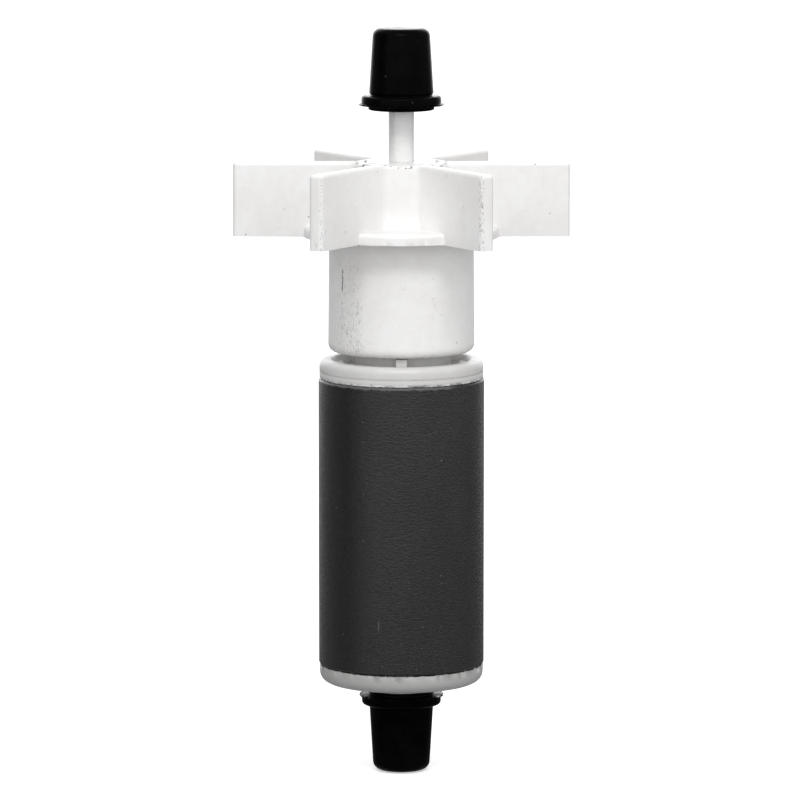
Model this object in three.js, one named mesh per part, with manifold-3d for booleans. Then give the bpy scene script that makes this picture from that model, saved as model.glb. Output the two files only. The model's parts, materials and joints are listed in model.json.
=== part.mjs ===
// Rotor and impeller assembly of a magnet-driven aquarium pump.
//
// A ceramic shaft stands in two rubber mounts. A magnet rotor turns on it and drives a six-bladed
// impeller through a lost-motion coupling that is shut inside the cup under the blades.
//
// Millimetres, +Z up. The origin is the middle of the lower mount's closed end, on the shaft's axis.
import * as THREE from "three";
import { mergeVertices } from "three/addons/utils/BufferGeometryUtils.js";
import Module from "manifold-3d";

const wasm = await Module();
wasm.setup();

// ---- Driving dimensions -------------------------------------------------------------------------
// Shaft and the rubber mounts on its two ends
const SHAFT_RADIUS = 1.5;
const SHAFT_END_CHAMFER = 0.3;
const MOUNT_END_RADIUS = 3.34;
const MOUNT_ROOT_RADIUS = 3.75;
const MOUNT_BODY_LENGTH = 7.85;
const MOUNT_END_ROUND = 0.9;
const MOUNT_GROOVE_HEIGHT = 0.45;
const MOUNT_GROOVE_DEPTH = 0.5;
const MOUNT_GROOVE_LIP = 0.05; // how far the groove bites into the flange and stands clear of the root
const MOUNT_FLANGE_RADIUS = 4.72;
const MOUNT_FLANGE_THICKNESS = 1.15;
const MOUNT_STEP_RADIUS = 3.9;
const MOUNT_STEP_HEIGHT = 0.5;
const MOUNT_SOCKET_DEPTH = 7.5;

// Magnet rotor
const ROTOR_RADIUS = 9.6;
const LOWER_FLANGE_THICKNESS = 2.25;
const LOWER_FLANGE_ROUND = 1.2;
const MAGNET_PROUD = 0.1;
const MAGNET_LENGTH = 33.9;
const MAGNET_CHAMFER = 0.25;
const CORE_WALL = 1.18;
const CORE_BORE_CLEARANCE = 0.7;
const TOP_RING_THICKNESS = 0.75;
const CAP_THICKNESS = 1.45;
const CAP_RIM_ROUND = 0.9;
const CAP_DISH_DEPTH = 0.7;
const CAP_RIM_WIDTH = 1.6;
const CAP_SOCKET_DEPTH = 0.9;
const NECK_HEIGHT = 3.7;
const NECK_RIB_WIDTH = 1.3;
const NECK_RIB_ROOT = 0.3;
const NECK_RIB_SETBACK = 0.4;
const NECK_RIBS = 3;

// Bearing bushes and washers
const BUSH_WALL = 1.3;
const ROTOR_BUSH_LENGTH = 7.0;
const LOWER_WASHER_THICKNESS = 0.85;
const LOWER_WASHER_RADIUS = 3.6;
const COUPLING_WASHER_THICKNESS = 0.6;
const UPPER_WASHER_THICKNESS = 0.8;
const UPPER_WASHER_RADIUS = 4.1;
const UPPER_WASHER_PROUD = 0.05;

// Lost-motion coupling
const DOG_HUB_RADIUS = 3.9;
const DOG_HEIGHT = 8.8;
const DOG_ARM_WIDTH = 3.0;
const DOG_SPIGOT_WALL = 0.6;
const DOG_SPIGOT_DEPTH = 1.7;
const PAD_THICKNESS = 1.0;
const STOP_WIDTH = 3.0;

// Impeller
const ROTOR_TO_CUP_GAP = 0.9;
const CUP_TOP_RADIUS = 8.45;
const CUP_DRAFT = 0.1;
const CUP_WALL = 1.3;
const CUP_FOOT_ROUND = 0.85;
const COVER_THICKNESS = 1.1;
const COVER_SPIGOT_HEIGHT = 1.1;
const COVER_LAND = 1.03;
const CUP_ROOF_THICKNESS = 1.15;
const DISC_RADIUS = 11.4;
const DISC_THICKNESS = 1.3;
const HUB_RADIUS = 5.4;
const BLADES = 6;
const BLADE_TIP_RADIUS = 19.63;
const BLADE_HEIGHT = 8.7;
const BLADE_THICKNESS = 1.8;
const BLADE_CORNER_ROUND = 1.0;

// Axial play of the rotor between the two mounts
const ROTOR_FLOAT = 6;

// Clearances
const RUNNING = 0.04; // on the radius, where a bore turns or slides on the shaft
const SEAT = 0.02; // between pieces that are pressed, glued or stacked together
const FLOAT_SEAT = 0.05; // above and below a loose washer
const FREE = 0.3; // between pieces that pass each other without touching

// Facets round a full circle
const FINE = 60;
const SMALL = 36;
const ARC = 4;

// ---- Heights worked out from them ---------------------------------------------------------------
const mountHeight = MOUNT_BODY_LENGTH + MOUNT_FLANGE_THICKNESS + MOUNT_STEP_HEIGHT;
const shaftFoot = mountHeight - MOUNT_SOCKET_DEPTH;
const lowerWasherFoot = mountHeight + FLOAT_SEAT;
const rotorFoot = lowerWasherFoot + LOWER_WASHER_THICKNESS + FLOAT_SEAT;
const magnetFoot = rotorFoot + LOWER_FLANGE_THICKNESS + SEAT;
const topRingFoot = magnetFoot + MAGNET_LENGTH + SEAT;
const capFoot = topRingFoot + TOP_RING_THICKNESS + SEAT;
const capTop = capFoot + CAP_THICKNESS;
const coreTop = capFoot + CAP_SOCKET_DEPTH - SEAT;
const neckTop = capTop + NECK_HEIGHT;
const dogFoot = neckTop + SEAT;
const dogTop = dogFoot + DOG_HEIGHT;
const couplingWasherFoot = dogTop + FLOAT_SEAT;
const cupRoof = couplingWasherFoot + COUPLING_WASHER_THICKNESS + FLOAT_SEAT;
const coverFoot = capTop + ROTOR_TO_CUP_GAP;
const coverTop = coverFoot + COVER_THICKNESS;
const bladeFoot = cupRoof + CUP_ROOF_THICKNESS;
const bladeTop = bladeFoot + BLADE_HEIGHT;
const upperWasherTop = bladeTop + UPPER_WASHER_PROUD;
const upperWasherFoot = upperWasherTop - UPPER_WASHER_THICKNESS;
const upperMountFoot = upperWasherTop + ROTOR_FLOAT;
const shaftTop = upperMountFoot + MOUNT_SOCKET_DEPTH;
const overallHeight = upperMountFoot + mountHeight;

// ---- Radii worked out from them -----------------------------------------------------------------
const runningBore = SHAFT_RADIUS + RUNNING;
const shaftPassage = SHAFT_RADIUS + FREE;
const bushRadius = SHAFT_RADIUS + BUSH_WALL;
const bushSeat = bushRadius + SEAT;
const coreRadius = bushSeat + CORE_WALL;
const coreBore = SHAFT_RADIUS + CORE_BORE_CLEARANCE;
const magnetBore = coreRadius + SEAT;
const magnetRadius = ROTOR_RADIUS + MAGNET_PROUD;
const capDishRadius = ROTOR_RADIUS - CAP_RIM_WIDTH;
const cupBore = CUP_TOP_RADIUS - CUP_WALL;
const cupFootRadius = CUP_TOP_RADIUS + CUP_DRAFT;
const coverSpigot = cupBore - SEAT;
const neckHole = coverSpigot - COVER_LAND;
const neckRadius = neckHole - FREE;
const dogReach = cupBore - FREE;
const dogSpigotSide = 2 * (shaftPassage + DOG_SPIGOT_WALL);

// ---- Shape helpers ------------------------------------------------------------------------------
// A solid of revolution about +Z. Its profile is a list of [radius, z] points.
function turned(profile, facets) {
  const points = profile.map(([radius, z]) => new THREE.Vector2(radius, z));
  return new THREE.LatheGeometry(points, facets).rotateX(Math.PI / 2);
}

// A ring between two radii, closed on itself.
function ring(inner, outer, foot, top, facets) {
  return turned([[inner, foot], [outer, foot], [outer, top], [inner, top], [inner, foot]], facets);
}

// A solid round column.
function column(radius, foot, top, facets) {
  return turned([[0, foot], [radius, foot], [radius, top], [0, top]], facets);
}

// Points on a quarter circle about a centre, from one angle to another, in degrees.
function quarter(radius, z, round, from, to) {
  return Array.from({ length: ARC + 1 }, (_, step) => {
    const angle = THREE.MathUtils.degToRad(from + ((to - from) * step) / ARC);
    return [radius + round * Math.cos(angle), z + round * Math.sin(angle)];
  });
}

// A block whose foot stands at a height, centred on y and running along x from one place to another.
function block(xFrom, xTo, width, foot, top) {
  const geometry = new THREE.BoxGeometry(xTo - xFrom, width, top - foot);
  return geometry.translate((xFrom + xTo) / 2, 0, (foot + top) / 2);
}

function solidOf(geometry) {
  const bare = geometry.clone();
  bare.deleteAttribute("normal");
  bare.deleteAttribute("uv");
  const merged = mergeVertices(bare, 1e-4);
  const vertProperties = new Float32Array(merged.attributes.position.array);
  const triVerts = new Uint32Array(merged.index.array);
  return new wasm.Manifold(new wasm.Mesh({ numProp: 3, vertProperties, triVerts }));
}

function geometryOf(solid) {
  const mesh = solid.getMesh();
  const geometry = new THREE.BufferGeometry();
  geometry.setAttribute("position", new THREE.BufferAttribute(mesh.vertProperties, 3));
  geometry.setIndex(new THREE.BufferAttribute(mesh.triVerts, 1));
  geometry.computeVertexNormals();
  return geometry;
}

function joined(geometries) {
  return geometries.map(solidOf).reduce((whole, piece) => whole.add(piece));
}

// ---- Shaft and mounts ---------------------------------------------------------------------------
function ceramicShaft() {
  const tip = SHAFT_RADIUS - SHAFT_END_CHAMFER;
  return turned([
    [0, shaftFoot], [tip, shaftFoot], [SHAFT_RADIUS, shaftFoot + SHAFT_END_CHAMFER],
    [SHAFT_RADIUS, shaftTop - SHAFT_END_CHAMFER], [tip, shaftTop], [0, shaftTop],
  ], SMALL);
}

// The mount stands on its closed end, with the mouth of its blind socket at the top.
function rubberMount() {
  const flangeTop = MOUNT_BODY_LENGTH + MOUNT_FLANGE_THICKNESS;
  const grooveFloor = MOUNT_BODY_LENGTH + MOUNT_GROOVE_LIP;
  const shoulder = MOUNT_ROOT_RADIUS + MOUNT_GROOVE_LIP;
  const socket = SHAFT_RADIUS + SEAT;
  const socketFloor = mountHeight - MOUNT_SOCKET_DEPTH - SEAT;
  return turned([
    [0, 0],
    ...quarter(MOUNT_END_RADIUS - MOUNT_END_ROUND, MOUNT_END_ROUND, MOUNT_END_ROUND, -90, 0),
    [MOUNT_ROOT_RADIUS, MOUNT_BODY_LENGTH - MOUNT_GROOVE_HEIGHT],
    [MOUNT_ROOT_RADIUS - MOUNT_GROOVE_DEPTH, grooveFloor], [shoulder, grooveFloor],
    [shoulder, MOUNT_BODY_LENGTH], [MOUNT_FLANGE_RADIUS, MOUNT_BODY_LENGTH],
    [MOUNT_FLANGE_RADIUS, flangeTop], [MOUNT_STEP_RADIUS, flangeTop],
    [MOUNT_STEP_RADIUS, mountHeight], [socket, mountHeight],
    [socket, socketFloor], [0, socketFloor],
  ], SMALL);
}

// ---- Rotor --------------------------------------------------------------------------------------
// The lower flange and the core tube that carries the magnet are one moulding.
function rotorCarrier() {
  const flangeTop = rotorFoot + LOWER_FLANGE_THICKNESS;
  const lowerSeat = rotorFoot + ROTOR_BUSH_LENGTH;
  const upperSeat = coreTop - ROTOR_BUSH_LENGTH;
  return turned([
    [bushSeat, rotorFoot],
    ...quarter(ROTOR_RADIUS - LOWER_FLANGE_ROUND, rotorFoot + LOWER_FLANGE_ROUND, LOWER_FLANGE_ROUND, -90, 0),
    [ROTOR_RADIUS, flangeTop], [coreRadius, flangeTop], [coreRadius, coreTop],
    [bushSeat, coreTop], [bushSeat, upperSeat], [coreBore, upperSeat],
    [coreBore, lowerSeat], [bushSeat, lowerSeat], [bushSeat, rotorFoot],
  ], FINE);
}

function magnet() {
  const bore = magnetBore;
  const top = magnetFoot + MAGNET_LENGTH;
  const face = magnetRadius - MAGNET_CHAMFER;
  return turned([
    [bore, magnetFoot], [face, magnetFoot], [magnetRadius, magnetFoot + MAGNET_CHAMFER],
    [magnetRadius, top - MAGNET_CHAMFER], [face, top], [bore, top], [bore, magnetFoot],
  ], FINE);
}

function magnetTopRing() {
  return ring(magnetBore, ROTOR_RADIUS, topRingFoot, topRingFoot + TOP_RING_THICKNESS, FINE);
}

// The end cap is welded to the core tube. Its neck reaches up into the cup, where the dog sits on it.
function rotorCap() {
  const dishFloor = capTop - CAP_DISH_DEPTH;
  const rimOuter = quarter(ROTOR_RADIUS - CAP_RIM_ROUND, capTop - CAP_RIM_ROUND, CAP_RIM_ROUND, 0, 90);
  const body = turned([
    [magnetBore, capFoot], [ROTOR_RADIUS, capFoot], ...rimOuter,
    [capDishRadius, capTop - CAP_DISH_DEPTH / 2], [capDishRadius - CAP_DISH_DEPTH / 2, dishFloor],
    [neckRadius, dishFloor], [neckRadius, neckTop],
    [coreBore, neckTop], [coreBore, capFoot + CAP_SOCKET_DEPTH],
    [magnetBore, capFoot + CAP_SOCKET_DEPTH], [magnetBore, capFoot],
  ], FINE);
  const ribRoot = neckRadius - NECK_RIB_ROOT;
  const ribEnd = capDishRadius - NECK_RIB_SETBACK;
  const ribTop = coverFoot - FREE / 2;
  const ribs = Array.from({ length: NECK_RIBS }, (_, index) =>
    block(ribRoot, ribEnd, NECK_RIB_WIDTH, dishFloor - SEAT, ribTop)
      .rotateZ(-Math.PI / 2 + (index * 2 * Math.PI) / NECK_RIBS));
  const socketSide = dogSpigotSide + 2 * SEAT;
  const socketFloor = neckTop - DOG_SPIGOT_DEPTH - SEAT;
  const socket = block(-socketSide / 2, socketSide / 2, socketSide, socketFloor, dogTop);
  return geometryOf(joined([body, ...ribs]).subtract(solidOf(socket)));
}

// A bearing bush, by the height of its foot and its length.
function bush(foot, length) {
  return ring(runningBore, bushRadius, foot, foot + length, SMALL);
}

function washer(radius, foot, thickness) {
  return ring(runningBore, radius, foot, foot + thickness, SMALL);
}

// ---- Coupling -----------------------------------------------------------------------------------
// The dog's arm points along +X. A square spigot keys it into the rotor's neck.
function driveDog() {
  const hub = column(DOG_HUB_RADIUS, dogFoot, dogTop, SMALL);
  const arm = block(0, dogReach, DOG_ARM_WIDTH, dogFoot, dogTop);
  const half = dogSpigotSide / 2;
  const spigot = block(-half, half, dogSpigotSide, neckTop - DOG_SPIGOT_DEPTH, dogFoot + DOG_HEIGHT / 2);
  const passage = column(shaftPassage, rotorFoot, overallHeight, SMALL);
  return geometryOf(joined([hub, arm, spigot]).subtract(solidOf(passage)));
}

// A rubber pad on one side of the dog's arm softens the knock when it picks the impeller up.
function dogPad(side) {
  const offset = side * (DOG_ARM_WIDTH / 2 + SEAT + PAD_THICKNESS / 2);
  const pad = block(DOG_HUB_RADIUS + FREE, dogReach - FREE, PAD_THICKNESS, dogFoot + FREE, dogTop - FREE);
  return pad.translate(0, offset, 0);
}

// ---- Impeller -----------------------------------------------------------------------------------
function blade() {
  const outline = new THREE.Shape();
  outline.moveTo(0, bladeFoot);
  outline.lineTo(BLADE_TIP_RADIUS, bladeFoot);
  outline.lineTo(BLADE_TIP_RADIUS, bladeTop - BLADE_CORNER_ROUND);
  outline.absarc(
    BLADE_TIP_RADIUS - BLADE_CORNER_ROUND, bladeTop - BLADE_CORNER_ROUND, BLADE_CORNER_ROUND, 0, Math.PI / 2);
  outline.lineTo(0, bladeTop);
  outline.closePath();
  const options = { depth: BLADE_THICKNESS, bevelEnabled: false, curveSegments: ARC };
  const plate = new THREE.ExtrudeGeometry(outline, options);
  return plate.rotateX(Math.PI / 2).translate(0, BLADE_THICKNESS / 2, 0);
}

// Blades, hub, disc and cup are one moulding. The stop inside the cup faces away from the dog's arm.
function impeller() {
  const cupFoot = coverTop + SEAT;
  const cup = turned([
    [0, cupRoof], [cupBore, cupRoof], [cupBore, cupFoot], [cupFootRadius, cupFoot],
    [CUP_TOP_RADIUS, bladeFoot + DISC_THICKNESS / 2], [0, bladeFoot + DISC_THICKNESS / 2],
  ], FINE);
  const disc = column(DISC_RADIUS, bladeFoot, bladeFoot + DISC_THICKNESS, FINE);
  const hub = column(HUB_RADIUS, bladeFoot, bladeTop, FINE);
  const blades = Array.from({ length: BLADES }, (_, index) =>
    blade().rotateZ((index * 2 * Math.PI) / BLADES));
  const stopInner = DOG_HUB_RADIUS + FREE;
  const stop = block(-cupBore - CUP_WALL / 2, -stopInner, STOP_WIDTH, neckTop + FREE,
    cupRoof + CUP_ROOF_THICKNESS / 2);
  const recess = UPPER_WASHER_RADIUS + SEAT;
  const recessFloor = upperWasherFoot - SEAT;
  const bore = turned([
    [0, 0], [bushSeat, 0], [bushSeat, recessFloor], [recess, recessFloor],
    [recess, overallHeight], [0, overallHeight],
  ], SMALL);
  return geometryOf(joined([cup, disc, hub, ...blades, stop]).subtract(solidOf(bore)));
}

// The ring is welded into the cup's foot. Its hole lets the rotor's neck through and holds the dog in.
function cupCoverRing() {
  const round = CUP_FOOT_ROUND;
  const spigotTop = coverTop + COVER_SPIGOT_HEIGHT;
  return turned([
    [neckHole, coverFoot], ...quarter(cupFootRadius - round, coverFoot + round, round, -90, 0),
    [cupFootRadius, coverTop], [coverSpigot, coverTop], [coverSpigot, spigotTop], [neckHole, spigotTop],
    [neckHole, coverFoot],
  ], FINE);
}

// ---- Assembly -----------------------------------------------------------------------------------
const WHITE_PLASTIC = { color: 0xf1f1ef, roughness: 0.38, metalness: 0 };
const SHADED_PLASTIC = { color: 0xd9d9d6, roughness: 0.42, metalness: 0 };
const BEARING_PLASTIC = { color: 0x3a3a3c, roughness: 0.4, metalness: 0 };
const RUBBER = { color: 0x0c0c0d, roughness: 0.55, metalness: 0 };
const FERRITE = { color: 0x232324, roughness: 0.6, metalness: 0.15 };
const CERAMIC = { color: 0xf4f4f0, roughness: 0.18, metalness: 0 };

const assembly = new THREE.Group();

function place(name, geometry, finish, parent = assembly) {
  const mesh = new THREE.Mesh(geometry, new THREE.MeshStandardMaterial(finish));
  mesh.name = name;
  parent.add(mesh);
  return mesh;
}

place("ceramic_shaft", ceramicShaft(), CERAMIC);
place("lower_rubber_mount", rubberMount(), RUBBER);
// The upper mount is the same part, turned end for end.
const upperMount = place("upper_rubber_mount", rubberMount(), RUBBER);
upperMount.position.z = overallHeight;
upperMount.rotation.x = Math.PI;

const rotor = new THREE.Group();
assembly.add(rotor);
place("rotor_carrier", rotorCarrier(), SHADED_PLASTIC, rotor);
place("magnet", magnet(), FERRITE, rotor);
place("magnet_top_ring", magnetTopRing(), SHADED_PLASTIC, rotor);
place("rotor_cap", rotorCap(), WHITE_PLASTIC, rotor);
place("rotor_lower_bush", bush(rotorFoot, ROTOR_BUSH_LENGTH), BEARING_PLASTIC, rotor);
place("rotor_upper_bush", bush(coreTop - ROTOR_BUSH_LENGTH, ROTOR_BUSH_LENGTH), BEARING_PLASTIC, rotor);
place("drive_dog", driveDog(), WHITE_PLASTIC, rotor);
place("dog_pad_leading", dogPad(1), RUBBER, rotor);
place("dog_pad_trailing", dogPad(-1), RUBBER, rotor);

const wheel = new THREE.Group();
assembly.add(wheel);
place("impeller", impeller(), WHITE_PLASTIC, wheel);
place("impeller_bush", bush(cupRoof, upperWasherFoot - cupRoof - SEAT), BEARING_PLASTIC, wheel);
place("cup_cover_ring", cupCoverRing(), WHITE_PLASTIC, wheel);

const couplingWasher = washer(DOG_HUB_RADIUS, couplingWasherFoot, COUPLING_WASHER_THICKNESS);
place("lower_thrust_washer", washer(LOWER_WASHER_RADIUS, lowerWasherFoot, LOWER_WASHER_THICKNESS), CERAMIC);
place("coupling_washer", couplingWasher, CERAMIC);
place("upper_thrust_washer", washer(UPPER_WASHER_RADIUS, upperWasherFoot, UPPER_WASHER_THICKNESS), CERAMIC);

export default assembly;
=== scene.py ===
# %% [markdown]
# # Rotor and impeller of an aquarium pump
# This lesson dresses a finished mechanical model. The frame that is loaded first holds every part at its
# real size and place, in metres. Each piece takes its heights and outer radius from the part that it
# stands for, and rides on the same moving body. The finer sizes are written here, in millimetres.

# %% Load the frame
import json
import math
import bpy
from mathutils import Matrix, Vector


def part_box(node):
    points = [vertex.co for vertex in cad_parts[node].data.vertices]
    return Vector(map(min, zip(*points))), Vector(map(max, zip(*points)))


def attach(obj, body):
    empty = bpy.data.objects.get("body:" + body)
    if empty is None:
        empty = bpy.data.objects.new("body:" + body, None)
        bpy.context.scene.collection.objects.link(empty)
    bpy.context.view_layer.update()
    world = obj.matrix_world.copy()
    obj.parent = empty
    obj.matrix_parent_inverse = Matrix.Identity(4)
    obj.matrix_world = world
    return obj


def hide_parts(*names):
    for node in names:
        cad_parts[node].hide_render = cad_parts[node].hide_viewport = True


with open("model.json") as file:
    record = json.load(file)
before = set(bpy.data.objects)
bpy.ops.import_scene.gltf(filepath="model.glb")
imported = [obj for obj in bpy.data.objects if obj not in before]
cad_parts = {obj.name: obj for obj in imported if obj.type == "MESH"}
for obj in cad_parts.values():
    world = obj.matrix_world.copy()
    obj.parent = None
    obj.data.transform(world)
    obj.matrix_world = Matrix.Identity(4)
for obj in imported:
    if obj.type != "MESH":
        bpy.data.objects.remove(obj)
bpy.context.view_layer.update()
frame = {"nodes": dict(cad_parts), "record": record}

MM = 0.001
print("parts in the frame:", len(frame["nodes"]))

# %% [markdown]
# ## Camera
# The camera looks at the middle of the assembly from a little above it. Its lens is long, which keeps
# upright edges upright and the blades' sizes true. It sits on a line through its target, so its height
# follows from the angle. Lens and sensor are in millimetres, distances in metres.

# %% Camera
CAMERA_DISTANCE = 0.656
CAMERA_RISE = math.radians(7.7)
CAMERA_LENS = 252
SENSOR_WIDTH = 36
NEAREST_SEEN = 0.01
CAMERA_TARGET = Vector((-0.16, 0, 43.9)) * MM


def add_camera():
    data = bpy.data.cameras.new("camera")
    data.lens = CAMERA_LENS
    data.sensor_width = SENSOR_WIDTH
    data.clip_start = NEAREST_SEEN
    camera = bpy.data.objects.new("camera", data)
    bpy.context.collection.objects.link(camera)
    back = Vector((0, -math.cos(CAMERA_RISE), math.sin(CAMERA_RISE)))
    camera.location = CAMERA_TARGET + back * CAMERA_DISTANCE
    camera.rotation_euler = (-back).to_track_quat("-Z", "Y").to_euler()
    bpy.context.scene.camera = camera
    return camera


print("camera at", [round(v, 3) for v in add_camera().location])

# %% [markdown]
# ## Turned pieces
# Most of the assembly is round: shaft, magnet, flanges, washers and rubber ends all come off a lathe or
# out of a round mould. A cylinder primitive has no groove or rounded rim, so each piece is drawn instead
# as half of its cross-section and spun round the shaft's axis. A corner is written as radius, height and
# rounding, and the rounding is worked out as an arc, so an outline stays as short as a drawing's.

# %% Outline with rounded corners
ARC_STEPS = 5
SMALL_ROUND, MIDDLE_ROUND, LARGE_ROUND = 96, 128, 192
SMOOTH_ANGLE = math.radians(35)
MERGE_DISTANCE = MM / 1000


def rounded(corners, closed=True):
    """Points of an outline whose corners (radius, height, rounding) are eased by arcs, in millimetres."""
    points = []
    count = len(corners)
    for index, (r, z, ease) in enumerate(corners):
        here = Vector((r, z))
        before = Vector(corners[index - 1][:2])
        after = Vector(corners[(index + 1) % count][:2])
        at_end = not closed and index in (0, count - 1)
        if ease == 0 or at_end:
            points.append(here)
            continue
        to_before = (before - here).normalized()
        to_after = (after - here).normalized()
        half = to_before.angle(to_after) / 2
        reach = ease / math.tan(half)
        start = here + to_before * reach
        end = here + to_after * reach
        centre = here + (to_before + to_after).normalized() * (ease / math.sin(half))
        first = start - centre
        sweep = first.angle_signed(end - centre)
        for step in range(ARC_STEPS + 1):
            turn = -sweep * step / ARC_STEPS
            points.append(centre + Matrix.Rotation(turn, 2) @ first)
    return points


# %% Drawing and spinning
def deselect_all():
    if bpy.context.object and bpy.context.object.mode != "OBJECT":
        bpy.ops.object.mode_set(mode="OBJECT")
    bpy.ops.object.select_all(action="DESELECT")


def select_only(piece):
    deselect_all()
    bpy.context.view_layer.objects.active = piece
    piece.select_set(True)


def start_line(point):
    """Adds a small plane in edit mode and merges it into the first point of a line."""
    bpy.ops.mesh.select_all(action="DESELECT")
    bpy.ops.mesh.primitive_plane_add(size=MM, location=point)
    bpy.ops.mesh.merge(type="CENTER")


def draw_line(points):
    """Draws a line through points, in metres, by extruding one vertex again and again."""
    start_line(points[0])
    for last, point in zip(points, points[1:]):
        step = {"value": point - last}
        bpy.ops.mesh.extrude_region_move(TRANSFORM_OT_translate=step)


def new_piece(name):
    """Starts an empty piece and opens it in edit mode."""
    deselect_all()
    bpy.ops.mesh.primitive_plane_add(size=MM, location=(0, 0, 0))
    piece = bpy.context.object
    piece.name = piece.data.name = name
    bpy.ops.object.mode_set(mode="EDIT")
    bpy.ops.mesh.select_mode(type="VERT")
    bpy.ops.mesh.select_all(action="SELECT")
    bpy.ops.mesh.delete(type="VERT")
    return piece


def spin_piece(name, corners, steps=MIDDLE_ROUND, closed=True):
    """A turned piece from half of its cross-section."""
    piece = new_piece(name)
    outline = [Vector((p.x, 0, p.y)) * MM for p in rounded(corners, closed)]
    draw_line(outline + outline[:1] if closed else outline)
    bpy.ops.mesh.select_all(action="SELECT")
    bpy.ops.mesh.remove_doubles(threshold=MERGE_DISTANCE)
    bpy.ops.mesh.select_all(action="SELECT")
    bpy.ops.mesh.spin(steps=steps, angle=math.tau, center=(0, 0, 0), axis=(0, 0, 1))
    bpy.ops.mesh.select_all(action="SELECT")
    bpy.ops.mesh.remove_doubles(threshold=MERGE_DISTANCE)
    bpy.ops.mesh.normals_make_consistent(inside=False)
    bpy.ops.object.mode_set(mode="OBJECT")
    bpy.ops.object.shade_smooth_by_angle(angle=SMOOTH_ANGLE)
    print(name, "has", len(piece.data.polygons), "faces")
    return piece


def roughen(piece, wanted, amount, seed):
    """Shakes the points that pass a test on radius and height, in millimetres, to make ragged flash."""
    select_only(piece)
    bpy.ops.object.mode_set(mode="EDIT")
    bpy.ops.mesh.select_mode(type="VERT")
    bpy.ops.mesh.select_all(action="DESELECT")
    bpy.ops.object.mode_set(mode="OBJECT")
    for vertex in piece.data.vertices:
        place = vertex.co / MM
        vertex.select = wanted(place.xy.length, place.z)
    bpy.ops.object.mode_set(mode="EDIT")
    bpy.ops.transform.vertex_random(offset=amount * MM, seed=seed)
    bpy.ops.object.mode_set(mode="OBJECT")


def heights(node):
    """Foot and top of a part of the frame, in millimetres."""
    low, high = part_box(node)
    return low.z / MM, high.z / MM


def radius_of(node):
    """Outer radius of a round part of the frame, in millimetres."""
    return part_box(node)[1].x / MM


def take_place(piece, node):
    """Lets a piece stand for a part of the frame and move with its body."""
    body = next(b for b, nodes in frame["record"]["behaviour"]["bodies"].items() if node in nodes)
    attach(piece, body)
    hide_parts(node)


# %% [markdown]
# ## Ceramic shaft and washers
# The shaft is a ground ceramic rod with eased ends. The washers are small flat rings. They differ only in
# size, so one helper makes a ring from its bore, its rim and how far its edges are eased.

# %% Shaft, washers and bushes
SHAFT_END_EASE = 0.3
RING_EASE = 0.12
RUNNING_BORE = 1.54


def spin_ring(node):
    """A flat ring that runs on the shaft."""
    foot, top = heights(node)
    plan = ((RUNNING_BORE, foot), (radius_of(node), foot), (radius_of(node), top), (RUNNING_BORE, top))
    return spin_piece(node + "_smooth", [(*corner, RING_EASE) for corner in plan], SMALL_ROUND)


foot, top = heights("ceramic_shaft")
shaft_radius = radius_of("ceramic_shaft")
shaft = spin_piece("shaft_rod", [
    (0, foot, 0), (shaft_radius, foot, SHAFT_END_EASE), (shaft_radius, top, SHAFT_END_EASE), (0, top, 0),
], SMALL_ROUND, closed=False)
take_place(shaft, "ceramic_shaft")

CERAMIC_WASHERS = ("upper_thrust_washer", "lower_thrust_washer", "coupling_washer")
BUSHES = ("impeller_bush", "rotor_upper_bush", "rotor_lower_bush")
washers = [spin_ring(node) for node in CERAMIC_WASHERS]
bushes = [spin_ring(node) for node in BUSHES]
for piece, node in zip(washers, CERAMIC_WASHERS):
    take_place(piece, node)
for piece, node in zip(bushes, BUSHES):
    take_place(piece, node)

# %% [markdown]
# ## Rubber mounts
# Both ends of the shaft sit in the same moulded rubber part, once each way up. Its body tapers so that it
# wedges into a socket, a groove runs round its root, and a thin fin is left where the mould parted. The
# section is drawn once, from the closed end, and flipped for the upper mount. The fin is torn rather
# than cut, so its points are shaken a little.

# %% Rubber mounts
MOUNT_HEIGHT = heights("lower_rubber_mount")[1]
TIP_RADIUS, WAIST_RADIUS, GROOVE_RADIUS = 3.3, 3.75, 3.5
COLLAR_RADIUS, FIN_RADIUS, FACE_RADIUS = 4.66, 4.92, 3.85
WAIST_HEIGHT, COLLAR_FOOT = 7.5, 7.82
FIN_HEIGHTS = (8.74, 8.84, 8.93, 9.0, 9.05)
FIN_TEAR = 0.06
SOCKET_RADIUS = shaft_radius + 0.02
SOCKET_FLOOR = 1.98
under_fin, fin_foot, fin_top, over_fin, shoulder = FIN_HEIGHTS
mount_section = [
    (0, 0, 0), (TIP_RADIUS, 0, 0.95), (WAIST_RADIUS, WAIST_HEIGHT, 0.1), (GROOVE_RADIUS, COLLAR_FOOT, 0.1),
    (COLLAR_RADIUS, COLLAR_FOOT, 0.36), (COLLAR_RADIUS, under_fin, 0.05), (FIN_RADIUS, fin_foot, 0.03),
    (FIN_RADIUS, fin_top, 0.03), (COLLAR_RADIUS - 0.16, over_fin, 0.1), (FACE_RADIUS, shoulder, 0.12),
    (FACE_RADIUS, MOUNT_HEIGHT, 0.2), (SOCKET_RADIUS, MOUNT_HEIGHT, 0.1),
    (SOCKET_RADIUS, SOCKET_FLOOR, 0.1), (0, SOCKET_FLOOR, 0),
]


def flipped(section, overall):
    """The same section on its other end, drawn the other way round so that its faces stay outwards."""
    return [(r, overall - z, ease) for r, z, ease in reversed(section)]


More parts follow.
